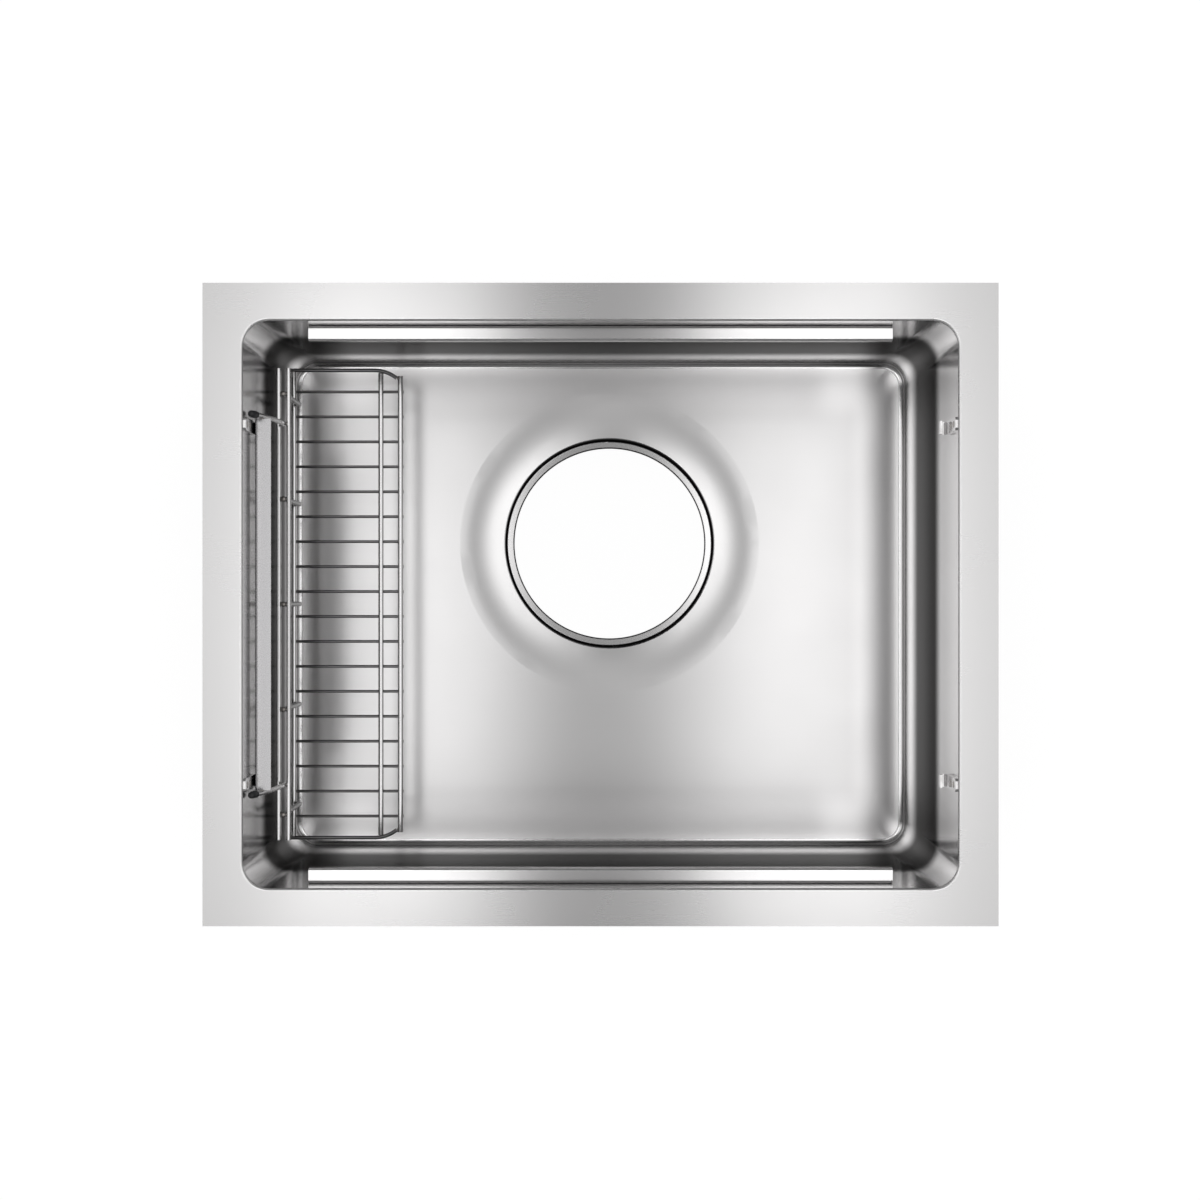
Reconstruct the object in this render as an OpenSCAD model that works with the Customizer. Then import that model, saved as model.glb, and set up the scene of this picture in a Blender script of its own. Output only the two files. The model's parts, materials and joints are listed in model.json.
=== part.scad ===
// Stainless kitchen sink for mounting under a worktop, with a wire rack that lifts off its wall hooks.
// X runs to the right, Y to the back and Z up. The origin is the middle of the underside.

/* [Bowl] */
// Width of the bowl's opening, left to right
bowl_w = 540; // [500:1:700]
// Length of the bowl's opening, front to back
bowl_l = 428; // [410:1:480]
// Depth from the flange's top to the floor
bowl_depth = 190; // [180:1:240]
// Thickness of the steel sheet
sheet_t = 1; // [0.8:0.1:1.2]
// Inner radius of the upright corners
corner_r = 20; // [18:1:30]
// Inner radius between the walls and the floor
floor_r = 5; // [3:0.5:12]

/* [Flange] */
// Width of the flange at the left and right
flange_side_w = 30; // [20:1:45]
// Width of the flange at the front and back
flange_end_w = 28.5; // [20:0.5:45]
// Radius of the rolled edge from the flange into the bowl
rim_r = 2; // [1.5:0.1:3]

/* [Drain] */
// Radius of the drain hole
drain_r = 85; // [80:0.5:86]
// Radius of the upright wall of the drain's recess
recess_r = 92; // [90:0.5:96]
// Height of the straight part of the recess's wall
recess_wall_h = 1.2; // [1:0.1:4]
// Inner radius of the bend at the foot of the recess's wall
recess_bend = 1.5; // [1:0.1:2]
// Outer radius of the dished floor round the drain
dish_r = 133; // [120:1:146]
// Radius of the dished floor's curve, seen from the side
dish_curve_r = 210; // [160:1:700]
// Distance from the drain's centre to the bowl's back wall
drain_to_back = 160; // [155:1:190]
// Offset of the drain's centre to the right of the bowl's centre
drain_x = 8; // [0:1:40]

/* [Accessory rails] */
// Width of the rail's top face
rail_w = 12; // [9:0.5:16]
// Drop from the flange's top to the rail's top face
rail_drop = 18; // [10:0.5:24]
// Height of the leg that is welded to the wall
rail_leg_h = 15; // [10:0.5:20]
// Height of the rail's turned-down front edge
rail_lip_h = 4.5; // [3.5:0.1:8]
// Sheet thickness of the rails
rail_t = 1.5; // [1:0.1:1.6]
// Outer radius of the rail's bends
rail_bend = 2.5; // [2:0.1:3]
// Distance from each end of the rail to the side wall
rail_inset = 46; // [30:1:80]

/* [Wall hooks] */
// Distance between the two hooks on one wall, centre to centre
hook_pitch = 274; // [220:1:300]
// Width of a hook's strip
hook_w = 10; // [8:0.5:14]
// Sheet thickness of a hook
hook_t = 1.5; // [1:0.1:2]
// Clear width of a hook's slot
hook_slot = 4; // [3.5:0.1:6]
// Drop from the flange's top to the hook's upper end
hook_top_drop = 4; // [3:0.5:8]
// Drop from the flange's top to the top of the hook's lip
hook_lip_drop = 28; // [24:0.5:34]
// Straight height of the hook's lip above its bend
hook_lip_h = 5; // [4:0.5:8]
// Corner radius at the hook's upper end
hook_corner_r = 2.5; // [1:0.1:3.5]

/* [Rack hanger] */
// Sheet thickness of the hanger strip
strip_t = 1.5; // [1:0.1:2]
// Width of the strip's flat top, from its bend to its front edge
strip_w = 10; // [7:0.5:14]
// Outer radius of the strip's bend
strip_bend = 2.5; // [2.1:0.1:3.5]
// Length of the strip past the outer edge of each hook
strip_overhang = 1.5; // [1.3:0.1:4]
// Depth of the strip's leg in the hook's slot, below the strip's underside
strip_leg_h = 5; // [3.5:0.1:6]
// Diameter of the two arms
arm_d = 4; // [3:0.1:4.5]
// Drop from the flange's top to the arm's upper tip
arm_top_drop = 12; // [9:0.5:14]
// Outside diameter of the rubber tip on the arm
tip_d = 5.6; // [5.5:0.1:7]
// Length of the rubber tip
tip_l = 9; // [6:0.5:10]
// Thickness of the closed end of the rubber tip
tip_end_t = 1; // [0.5:0.1:2]

/* [Rack bars] */
// Diameter of the two long bars and of the uprights between them
bar_d = 4; // [3:0.1:5]
// Length of the two long bars
bar_len = 380; // [350:1:390]
// Drop from the flange's top to the bars' middle
bar_drop = 74; // [60:1:90]
// Number of uprights on each side of the middle one
upright_pairs = 2; // [1:1:2]
// Cross wires between one upright and the next
upright_step = 4; // [2:1:4]

/* [Rack tray] */
// Drop from the flange's top to the middle of the tray's rails
tray_drop = 131; // [110:1:150]
// Diameter of the tray's three rails
tray_rail_d = 4.5; // [4:0.1:5]
// Diameter of the tray's two end wires
end_wire_d = 3.2; // [2.4:0.1:4]
// Diameter of the cross wires
wire_d = 2.4; // [2:0.1:3.5]
// Number of cross wires
wire_n = 18; // [16:2:22]
// Distance from the end wire to the first cross wire
wire_end_gap = 17.8; // [12:0.1:20]
// Distance from the side wall to the middle of the tray's front rail
tray_reach = 100.5; // [80:0.5:140]
// Distance from the tray's front rail to the inner rail
inner_rail_gap = 16.5; // [16:0.5:30]
// Centre-line radius of the bend at the front of each end wire
end_bend_r = 31; // [26:1:36]
// Angle by which the end wire turns towards the tray's middle
end_bend_angle = 38; // [30:1:44]

/* [Damping pads] */
// Thickness of the rubber pads under the floor
pad_t = 2.5; // [1:0.1:5]
// Width of a side pad, left to right
pad_w = 90; // [60:1:110]
// Length of a side pad, front to back
pad_l = 300; // [200:1:370]
// Length of the front pad, front to back
front_pad_l = 90; // [60:1:100]
// Corner radius of the pads
pad_r = 10; // [5:1:20]

/* [Fits] */
// Gap between the rack and whatever it passes as it is lifted
lift_gap = 1.5; // [1:0.1:3]
// Gap between each end of the tray and the accessory rails
tray_gap = 2.4; // [1:0.1:4]
// Gap where the hung rack rests on the hooks
seat_gap = 0.3; // [0.2:0.05:0.4]
// Gap between the wire and the rubber tip on it
tip_gap = 0.05; // [0.02:0.01:0.1]
// Distance of a pad from the edge of the flat floor and from the dish
pad_margin = 8; // [4:1:20]

/* [Hidden] */
$fn = 96;
wire_fn = 24;
dish_fn = 480;
ledge_z = sheet_t;
recess_top_bend = recess_bend + sheet_t;
recess_bend_z = ledge_z + recess_bend + recess_wall_h;
dish_in_r = recess_r + recess_top_bend;
dish_centre_gap = dish_curve_r - recess_top_bend;
dish_angle = asin((dish_r - dish_in_r) / dish_centre_gap);
floor_z = recess_bend_z + dish_curve_r - dish_centre_gap * cos(dish_angle);
rim_z = floor_z + bowl_depth;
sink_w = bowl_w + 2 * flange_side_w;
sink_l = bowl_l + 2 * flange_end_w;
drain_y = bowl_l / 2 - drain_to_back;
flat_w = bowl_w - 2 * floor_r;
flat_l = bowl_l - 2 * floor_r;
flat_r = corner_r - floor_r;

wall_x = -bowl_w / 2;
hook_reach = 2 * hook_t + hook_slot;
hook_bend_z = rim_z - hook_lip_drop - hook_lip_h;
hook_bend_r = hook_slot / 2;
strip_under_z = rim_z - hook_lip_drop + seat_gap;
strip_top_z = strip_under_z + strip_t;
strip_leg_x = wall_x + hook_t + (hook_slot - strip_t) / 2;
strip_len = hook_pitch + hook_w + 2 * strip_overhang;
arm_y = strip_len / 2 + arm_d / 2;

bar_x = wall_x + hook_reach + lift_gap + bar_d / 2;
bar_z = rim_z - bar_drop;
upright_x = bar_x + bar_d;
bar_front_x = upright_x + bar_d;
tray_z = rim_z - tray_drop;
tray_y = bowl_l / 2 - rail_w - tray_gap - end_wire_d / 2;
tray_back_x = upright_x - bar_d / 2 - tray_rail_d / 2;
tray_front_x = wall_x + tray_reach;
inner_rail_x = tray_front_x - inner_rail_gap;
end_wire_tip_x = tray_front_x - tray_rail_d / 2 - end_wire_d / 2 * sin(end_bend_angle);
end_bend_x = end_wire_tip_x - end_bend_r * sin(end_bend_angle);
end_wire_tip_y = tray_y - end_bend_r * (1 - cos(end_bend_angle));
inner_rail_side = max(0, inner_rail_x + tray_rail_d / 2 - end_bend_x);
inner_rail_shift = end_bend_r - sqrt(pow(end_bend_r, 2) - pow(inner_rail_side, 2));
wire_z = tray_z - tray_rail_d / 2 - wire_d / 2;
wire_pitch = (2 * tray_y - 2 * wire_end_gap) / (wire_n - 1);

arm_base_z = bar_z + bar_d / 2;
arm_rise = rim_z - arm_top_drop - arm_base_z;
arm_lean = upright_x - wall_x - tip_d / 2 - seat_gap;
arm_angle = 2 * atan(arm_lean / arm_rise);
arm_r = arm_rise / sin(arm_angle);

wires = [for (i = [1 : wire_n]) str("cross_wire_", i)];
uprights = [for (i = [1 : 2 * upright_pairs + 1]) str("upright_", i)];

// Quarter of a ring round the origin, in the quadrant given by the signs of x and y
module quarter_ring(inner, outer, sx, sy) {
    intersection() {
        difference() {
            circle(r = outer);
            circle(r = inner);
        }
        translate([sx < 0 ? -outer : 0, sy < 0 ? -outer : 0]) square(outer);
    }
}

// Part of a ring round the origin, between two angles that are less than a half turn apart
module ring_part(inner, outer, from, to) {
    far = 2 * outer;
    middle = (from + to) / 2;
    intersection() {
        difference() {
            circle(r = outer);
            circle(r = inner);
        }
        polygon([
            [0, 0],
            far * [cos(from), sin(from)],
            far * [cos(middle), sin(middle)],
            far * [cos(to), sin(to)]
        ]);
    }
}

// Carries a section round the bowl: its x is outward from the bowl's inner face and its y is up
module around_bowl() {
    for (side = [0, 1]) {
        mirror([side, 0, 0])
            translate([bowl_w / 2, 0, 0])
            rotate([90, 0, 0])
            linear_extrude(height = bowl_l - 2 * corner_r, center = true)
            children();
        mirror([0, side, 0])
            translate([0, bowl_l / 2, 0])
            rotate([90, 0, 90])
            linear_extrude(height = bowl_w - 2 * corner_r, center = true)
            children();
    }
    for (mx = [0, 1], my = [0, 1]) {
        mirror([mx, 0, 0])
            mirror([0, my, 0])
            translate([bowl_w / 2 - corner_r, bowl_l / 2 - corner_r, 0])
            rotate_extrude(angle = 90)
            translate([corner_r, 0])
            children();
    }
}

// Flat rectangle with round corners, made of rectangles and quarter discs that share their edges
module round_rectangle(w, l, r) {
    square([w - 2 * r, l], center = true);
    for (mx = [0, 1]) {
        mirror([mx, 0]) {
            translate([w / 2 - r, r - l / 2]) square([r, l - 2 * r]);
            for (my = [0, 1])
                mirror([0, my])
                    translate([w / 2 - r, l / 2 - r])
                    quarter_disc(r);
        }
    }
}

module quarter_disc(r) {
    intersection() {
        circle(r = r);
        square(r);
    }
}

// Angle of a stretch of the arm's arc
function degrees_along_arm(len) = len / arm_r * 180 / PI;

// Straight round wire in the XY plane
module wire(from, to, d) {
    run = to - from;
    translate([from.x, from.y, 0])
        rotate([0, 90, atan2(run.y, run.x)])
        cylinder(h = norm(run), d = d, $fn = wire_fn);
}

// Wire along Y at the given place, centred on the bowl
module wire_along_y(x, z, len, d) {
    translate([0, 0, z]) wire([x, -len / 2], [x, len / 2], d);
}

module wall_section() {
    translate([0, floor_z + floor_r]) square([sheet_t, rim_z - rim_r - floor_z - floor_r]);
    translate([-floor_r, floor_z + floor_r]) quarter_ring(floor_r, floor_r + sheet_t, 1, -1);
}

module bowl_wall() {
    color("#c9cbcd") around_bowl() wall_section();
}

// Section of the drain's recess, from the hole to the dished floor: x is the radius
module recess_section() {
    translate([drain_r, ledge_z - sheet_t]) square([recess_r - recess_bend - drain_r, sheet_t]);
    translate([recess_r - recess_bend, ledge_z + recess_bend])
        quarter_ring(recess_bend, recess_bend + sheet_t, 1, -1);
    translate([recess_r, ledge_z + recess_bend]) square([sheet_t, recess_wall_h]);
    translate([dish_in_r, recess_bend_z])
        ring_part(recess_bend, recess_top_bend, 90 + dish_angle, 180);
}

module drain_recess() {
    color("#cdcfd1") translate([drain_x, drain_y, 0]) rotate_extrude() recess_section();
}

// Section of the dished floor round the recess: x is the radius
module dish_section() {
    translate([dish_r, floor_z - dish_curve_r])
        ring_part(dish_curve_r - sheet_t, dish_curve_r, 90, 90 + dish_angle, $fn = dish_fn);
}

module bowl_floor() {
    color("#d3d5d6") {
        translate([0, 0, floor_z - sheet_t])
            linear_extrude(height = sheet_t)
            difference() {
                round_rectangle(flat_w, flat_l, flat_r);
                translate([drain_x, drain_y]) circle(r = dish_r);
            }
        translate([drain_x, drain_y, 0]) rotate_extrude() dish_section();
    }
}

module rolled_edge_section() {
    translate([rim_r, rim_z - rim_r]) quarter_ring(rim_r - sheet_t, rim_r, -1, 1);
}

// Flat flange with square outer corners, as four strips and four corner plates
module flange_outline() {
    for (side = [0, 1]) {
        mirror([side, 0])
            translate([bowl_w / 2 + rim_r, corner_r - bowl_l / 2])
            square([flange_side_w - rim_r, bowl_l - 2 * corner_r]);
        mirror([0, side])
            translate([corner_r - bowl_w / 2, bowl_l / 2 + rim_r])
            square([bowl_w - 2 * corner_r, flange_end_w - rim_r]);
    }
    for (mx = [0, 1], my = [0, 1])
        mirror([mx, 0])
            mirror([0, my])
            translate([bowl_w / 2 - corner_r, bowl_l / 2 - corner_r])
            difference() {
                square([corner_r + flange_side_w, corner_r + flange_end_w]);
                circle(r = corner_r + rim_r);
            }
}

module flange() {
    color("#dfe0e1") {
        translate([0, 0, rim_z - sheet_t]) linear_extrude(height = sheet_t) flange_outline();
        around_bowl() rolled_edge_section();
    }
}

// Section of an accessory rail: x is inward from the wall and y is up from the top face
module rail_section() {
    translate([0, -rail_leg_h]) square([rail_t, rail_leg_h - rail_bend]);
    translate([rail_bend, -rail_bend]) quarter_ring(rail_bend - rail_t, rail_bend, -1, 1);
    translate([rail_bend, -rail_t]) square([rail_w - 2 * rail_bend, rail_t]);
    translate([rail_w - rail_bend, -rail_bend]) quarter_ring(rail_bend - rail_t, rail_bend, 1, 1);
    translate([rail_w - rail_t, -rail_lip_h]) square([rail_t, rail_lip_h - rail_bend]);
}

module back_rail() {
    color("#e4e5e6")
        translate([0, bowl_l / 2, rim_z - rail_drop])
        rotate([90, 0, -90])
        linear_extrude(height = bowl_w - 2 * rail_inset, center = true)
        rail_section();
}

module front_rail() {
    mirror([0, 1, 0]) back_rail();
}

// Section of a wall hook: x is inward from the wall and y is the height
module hook_section() {
    translate([0, hook_bend_z]) square([hook_t, rim_z - hook_top_drop - hook_bend_z]);
    for (side = [-1, 1])
        translate([hook_reach / 2, hook_bend_z])
            quarter_ring(hook_bend_r, hook_bend_r + hook_t, side, -1);
    translate([hook_reach - hook_t, hook_bend_z]) square([hook_t, hook_lip_h]);
}

// Outline of the hook's strip, seen from the middle of the bowl
module hook_outline() {
    bottom = hook_bend_z - hook_bend_r - hook_t;
    top = rim_z - hook_top_drop;
    translate([-hook_w / 2, bottom]) square([hook_w, top - hook_corner_r - bottom]);
    translate([hook_corner_r - hook_w / 2, top - hook_corner_r])
        square([hook_w - 2 * hook_corner_r, hook_corner_r]);
    for (mx = [0, 1])
        mirror([mx, 0])
            translate([hook_w / 2 - hook_corner_r, top - hook_corner_r])
            quarter_disc(hook_corner_r);
}

// Hook on the left wall at the given place along Y
module left_hook(y) {
    color("#b9bcbf")
        intersection() {
            translate([wall_x, y, 0])
                rotate([90, 0, 0])
                linear_extrude(height = hook_w, center = true)
                hook_section();
            translate([wall_x, y, 0])
                rotate([90, 0, 90])
                linear_extrude(height = hook_reach)
                hook_outline();
        }
}

module right_hook(y) {
    mirror([1, 0, 0]) left_hook(y);
}

module pad(x, y, w, l) {
    color("#3f4246")
        translate([x, y, floor_z - sheet_t - pad_t])
        linear_extrude(height = pad_t)
        round_rectangle(w, l, pad_r);
}

module left_pad() {
    pad(pad_margin + pad_w / 2 - flat_w / 2, 0, pad_w, pad_l);
}

module right_pad() {
    pad(flat_w / 2 - pad_margin - pad_w / 2, 0, pad_w, pad_l);
}

module front_pad() {
    front_y = pad_margin - flat_l / 2;
    side_clear = flat_w / 2 - pad_w - 2 * pad_margin;
    pad(0, front_y + front_pad_l / 2, 2 * side_clear, front_pad_l);
}

// Section of the hanger strip: x is inward from the back of its leg and y is the height
module strip_section() {
    top = strip_top_z;
    translate([0, strip_under_z - strip_leg_h])
        square([strip_t, top - strip_bend - strip_under_z + strip_leg_h]);
    translate([strip_bend, top - strip_bend]) quarter_ring(strip_bend - strip_t, strip_bend, -1, 1);
    translate([strip_bend, strip_under_z]) square([strip_w, strip_t]);
}

module hanger_strip() {
    color("#d9dadb")
        translate([strip_leg_x, 0, 0])
        rotate([90, 0, 0])
        linear_extrude(height = strip_len, center = true)
        strip_section();
}

// Sweeps a section along the arm's arc, which leaves the bars upright and leans towards the wall
module along_arm(y, from_angle, to_angle) {
    translate([upright_x - arm_r, y, arm_base_z])
        rotate([90, 0, 0])
        rotate([0, 0, from_angle])
        rotate_extrude(angle = to_angle - from_angle)
        translate([arm_r, 0])
        children();
}

// Arm from between the two bars, past the strip's end and up to the wall
module arm(y) {
    color("#cfd1d3") {
        translate([upright_x, y, bar_z - bar_d / 2]) cylinder(h = bar_d, d = arm_d, $fn = wire_fn);
        along_arm(y, 0, arm_angle) circle(d = arm_d, $fn = wire_fn);
    }
}

// Rubber tip over the arm's upper end
module arm_tip_cap(y) {
    end_angle = arm_angle + degrees_along_arm(tip_end_t);
    open_angle = end_angle - degrees_along_arm(tip_l);
    past_open = open_angle - degrees_along_arm(tip_end_t);
    color("#26282a")
        difference() {
            along_arm(y, open_angle, end_angle) circle(d = tip_d, $fn = wire_fn);
            along_arm(y, past_open, arm_angle) circle(d = arm_d + 2 * tip_gap, $fn = wire_fn);
        }
}

module outer_bar() {
    color("#cfd1d3") wire_along_y(bar_x, bar_z, bar_len, bar_d);
}

module inner_bar() {
    color("#cfd1d3") wire_along_y(bar_front_x, bar_z, bar_len, bar_d);
}

// Upright between the two bars, down to the tray's back rail
module upright(i) {
    y = (i - upright_pairs - 1) * upright_step * wire_pitch;
    foot_z = tray_z - tray_rail_d / 2;
    top_z = bar_z + bar_d / 2;
    color("#bfc2c4")
        translate([upright_x, y, foot_z])
        cylinder(h = top_z - foot_z, d = bar_d, $fn = wire_fn);
}

module tray_rail(x, half_len) {
    color("#c6c8ca") wire_along_y(x, tray_z, 2 * half_len, tray_rail_d);
}

module tray_back_rail() {
    tray_rail(tray_back_x, tray_y - end_wire_d / 2);
}

module tray_inner_rail() {
    tray_rail(inner_rail_x, tray_y - end_wire_d / 2 - inner_rail_shift);
}

module tray_front_rail() {
    tray_rail(tray_front_x, end_wire_tip_y + end_wire_d / 2);
}

// End wire of the tray: straight from the back, then bent towards the end of the front rail
module rear_end_wire() {
    color("#bfc2c4")
        translate([end_bend_x, tray_y - end_bend_r, tray_z])
        mirror([1, 0, 0])
        rotate([0, 0, 90]) {
            rotate_extrude(angle = end_bend_angle) end_wire_section();
            rotate([90, 0, 0])
                linear_extrude(height = end_bend_x - tray_back_x + tray_rail_d / 2)
                end_wire_section();
        }
}

// Section of the end wire, at the bend's radius from the bend's axis
module end_wire_section() {
    translate([end_bend_r, 0]) circle(d = end_wire_d, $fn = wire_fn);
}

module front_end_wire() {
    mirror([0, 1, 0]) rear_end_wire();
}

// Cross wire under the tray's rails
module cross_wire(i) {
    y = (i - (wire_n + 1) / 2) * wire_pitch;
    back_x = tray_back_x - tray_rail_d / 2;
    front_x = tray_front_x + tray_rail_d / 2;
    color("#b4b7ba") translate([0, 0, wire_z]) wire([back_x, y], [front_x, y], wire_d);
}

bowl_wall();
bowl_floor();
drain_recess();
flange();
back_rail();
front_rail();
left_hook(hook_pitch / 2);  // left_rear_hook
left_hook(-hook_pitch / 2);  // left_front_hook
right_hook(hook_pitch / 2);  // right_rear_hook
right_hook(-hook_pitch / 2);  // right_front_hook
left_pad();
right_pad();
front_pad();
hanger_strip();
arm(arm_y);  // rear_arm
arm(-arm_y);  // front_arm
arm_tip_cap(arm_y);  // rear_arm_tip
arm_tip_cap(-arm_y);  // front_arm_tip
outer_bar();
inner_bar();
tray_back_rail();
tray_inner_rail();
tray_front_rail();
rear_end_wire();
front_end_wire();
for (i = [1 : len(uprights)])
    upright(i);
for (i = [1 : wire_n])
    cross_wire(i);
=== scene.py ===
import json
import math

import bmesh
import bpy
from bpy.props import FloatProperty, FloatVectorProperty, PointerProperty
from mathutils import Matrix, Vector

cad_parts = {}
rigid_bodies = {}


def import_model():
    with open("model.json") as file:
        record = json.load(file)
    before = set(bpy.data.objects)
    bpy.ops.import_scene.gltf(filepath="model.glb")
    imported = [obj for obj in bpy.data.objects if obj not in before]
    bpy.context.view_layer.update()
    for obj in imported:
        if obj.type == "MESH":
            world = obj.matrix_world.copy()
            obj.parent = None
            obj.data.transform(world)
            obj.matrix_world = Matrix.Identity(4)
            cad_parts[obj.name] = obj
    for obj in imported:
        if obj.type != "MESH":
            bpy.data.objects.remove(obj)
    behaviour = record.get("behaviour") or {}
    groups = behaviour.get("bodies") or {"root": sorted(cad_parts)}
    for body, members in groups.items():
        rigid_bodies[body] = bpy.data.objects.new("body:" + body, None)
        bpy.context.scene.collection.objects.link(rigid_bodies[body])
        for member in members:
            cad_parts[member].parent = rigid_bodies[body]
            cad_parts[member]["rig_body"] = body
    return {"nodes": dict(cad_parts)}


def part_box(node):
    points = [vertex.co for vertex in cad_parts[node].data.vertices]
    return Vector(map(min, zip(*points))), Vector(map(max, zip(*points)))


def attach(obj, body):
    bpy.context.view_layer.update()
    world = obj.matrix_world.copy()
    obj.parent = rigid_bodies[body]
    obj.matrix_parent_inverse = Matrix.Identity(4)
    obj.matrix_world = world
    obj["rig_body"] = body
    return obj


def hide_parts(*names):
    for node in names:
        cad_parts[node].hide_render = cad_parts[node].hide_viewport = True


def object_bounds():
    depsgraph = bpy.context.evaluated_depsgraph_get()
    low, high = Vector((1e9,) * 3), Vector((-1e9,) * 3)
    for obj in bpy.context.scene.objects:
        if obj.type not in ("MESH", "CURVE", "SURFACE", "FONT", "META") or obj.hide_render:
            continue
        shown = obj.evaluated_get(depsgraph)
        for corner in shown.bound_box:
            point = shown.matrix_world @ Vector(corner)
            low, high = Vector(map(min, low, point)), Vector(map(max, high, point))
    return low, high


for start_up_object in list(bpy.data.objects):
    bpy.data.objects.remove(start_up_object)
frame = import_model()
cad_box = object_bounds()

bl_info = {
    "name": "Kitchen sink with a lift-off wire rack",
    "version": (1, 0, 0),
    "blender": (4, 5, 0),
    "location": "3D View > Sidebar > Sink",
    "description": "Dresses the sink and its rack in satin steel, rubber and studio light",
    "category": "Object",
}

SINK_BODY = "sink"
RACK_BODY = "rack"
HOOKS = ("left_rear_hook", "left_front_hook", "right_rear_hook", "right_front_hook")

# Blender works in metres. Lengths from here to the recess's painted shade are in millimetres.
MM = 0.001
# The bowl's opening, the radius of its upright corners and its sheet, as the solids have them.
BOWL_W = 540
BOWL_L = 428
CORNER_R = 20
SHEET_T = 1
# The accessory rails, the hooks and the rack's hanger strip are bent from strip this thick.
STRIP_T = 1.5
# The arm's bend and its rubber tip, as the solids have them.
ARM_RISE = 60
ARM_LEAN = 11.4
TIP_L = 9
TIP_END = 1
# How much the edges of strip and the cut ends of wire are rounded.
STRIP_EDGE_R = 0.25
WIRE_EDGE_R = 0.2
# Spacing and depth of the hairlines. Grit 320 leaves lines about 0.05 mm apart; they are drawn
# this far apart so that they show.
HAIRLINE_GAP = 2
HAIRLINE_DEPTH = 0.004
# Width of the clouds, where the sheet was rubbed a little more or less.
CLOUD_W = 70
# Die marks are a few hundredths of a millimetre; they are drawn this long to show.
DIE_MARK_L = 1.2
# Width of the floor's border along the walls, which painted light makes paler.
FLOOR_PAINTED_LIGHT_BORDER = 52
# Painted shade on the walls' inner face: grey levels by height above the floor. The dark band
# is a painted reflection of dark surroundings, which the walls would mirror.
WALL_PAINTED_SHADE = ((0, 1.0), (26, 1.0), (56, 0.31), (113, 0.24), (137, 0.8), (190, 1.0))
# Painted shade of the recess: grey levels by distance from the drain's axis. The hole's sheared
# edge and the recess's step are painted as dark rings of shade.
RECESS_PAINTED_SHADE = (
    (84.9, 0.03),
    (85.8, 0.05),
    (86.4, 1.0),
    (90.4, 1.0),
    (91.2, 0.03),
    (92.6, 0.03),
    (94.0, 1.0),
)

# Painted light on the floor: the shade of its steel on the flat part and at the border.
FLOOR_SHADE = 0.95
BORDER_PAINTED_LIGHT = 1.45
# Share of the border's width over which one shade turns into the other.
BORDER_FADE = 0.7
# How much paler or darker, and rougher or smoother, the hairlines make the steel.
HAIRLINE_TONE = 0.01
HAIRLINE_ROUGHNESS = 0.01
# Share of the hairlines beside the clouds in the uneven roughness.
HAIRLINE_SHARE = 0.35
# Depth of the ripples in a weld bead's skin, as a share of its size, and how close they lie.
RIPPLE_DEPTH = 0.07
RIPPLES_ALONG = 6
RIPPLES_ACROSS = 5


def linear(hex_colour):
    """An sRGB hex colour as linear red, green and blue."""
    channels = [int(hex_colour[i : i + 2], 16) / 255 for i in (1, 3, 5)]
    return tuple(c / 12.92 if c <= 0.04045 else ((c + 0.055) / 1.055) ** 2.4 for c in channels)


def per_mm(size):
    """Texture scale at which one unit of the pattern is the given number of millimetres."""
    return 1 / (size * MM)


def add_node(tree, kind, settings=None, inputs=None):
    """Adds a node, sets its settings, and sets or links its inputs.

    A Mix node takes numbers at its inputs 2 and 3, and colours at 6 and 7.
    """
    node = tree.nodes.new(kind)
    for name, value in (settings or {}).items():
        setattr(node, name, value)
    for socket, value in (inputs or {}).items():
        if isinstance(value, bpy.types.NodeSocket):
            tree.links.new(value, node.inputs[socket])
        else:
            node.inputs[socket].default_value = value
    return node


def middle(node_name):
    """Middle of a CAD node's box."""
    low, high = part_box(node_name)
    return (low + high) / 2


def new_material(name):
    """An empty material that is made of nodes."""
    material = bpy.data.materials.new(name)
    material.use_nodes = True
    material.node_tree.nodes.clear()
    return material


def reach_past(tree, place, inset):
    """Distance outward past a rectangle that lies inside the bowl, this far from its walls."""
    # The third side is higher than the sink, so that height adds nothing to the distance.
    straight = (BOWL_W / 2 - inset, BOWL_L / 2 - inset, 1000)
    size = add_node(
        tree, "ShaderNodeVectorMath", {"operation": "ABSOLUTE"}, {0: place}
    ).outputs["Vector"]
    past = add_node(
        tree,
        "ShaderNodeVectorMath",
        {"operation": "SUBTRACT"},
        {0: size, 1: [side * MM for side in straight]},
    ).outputs["Vector"]
    corner = add_node(
        tree, "ShaderNodeVectorMath", {"operation": "MAXIMUM"}, {0: past, 1: (0, 0, 0)}
    ).outputs["Vector"]
    return add_node(
        tree, "ShaderNodeVectorMath", {"operation": "LENGTH"}, {0: corner}
    ).outputs["Value"]


def inside_of_bowl(tree, place):
    """1 on the bowl's inner face and 0 on its outer face."""
    reach = reach_past(tree, place, CORNER_R)
    skin = (CORNER_R + SHEET_T / 2) * MM
    return add_node(
        tree, "ShaderNodeMath", {"operation": "LESS_THAN"}, {0: reach, 1: skin}
    ).outputs["Value"]


def height_inside(tree, place):
    """Height above the bowl's floor on the bowl's inner face, and a metre on its outer face."""
    height = add_node(tree, "ShaderNodeSeparateXYZ", inputs={"Vector": place}).outputs["Z"]
    floor_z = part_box("bowl_floor")[1].z
    above_floor = add_node(
        tree, "ShaderNodeMath", {"operation": "SUBTRACT"}, {0: height, 1: floor_z}
    ).outputs["Value"]
    inside = inside_of_bowl(tree, place)
    return add_node(
        tree, "ShaderNodeMix", {"data_type": "FLOAT"}, {0: inside, 2: 1.0, 3: above_floor}
    ).outputs[0]


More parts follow.
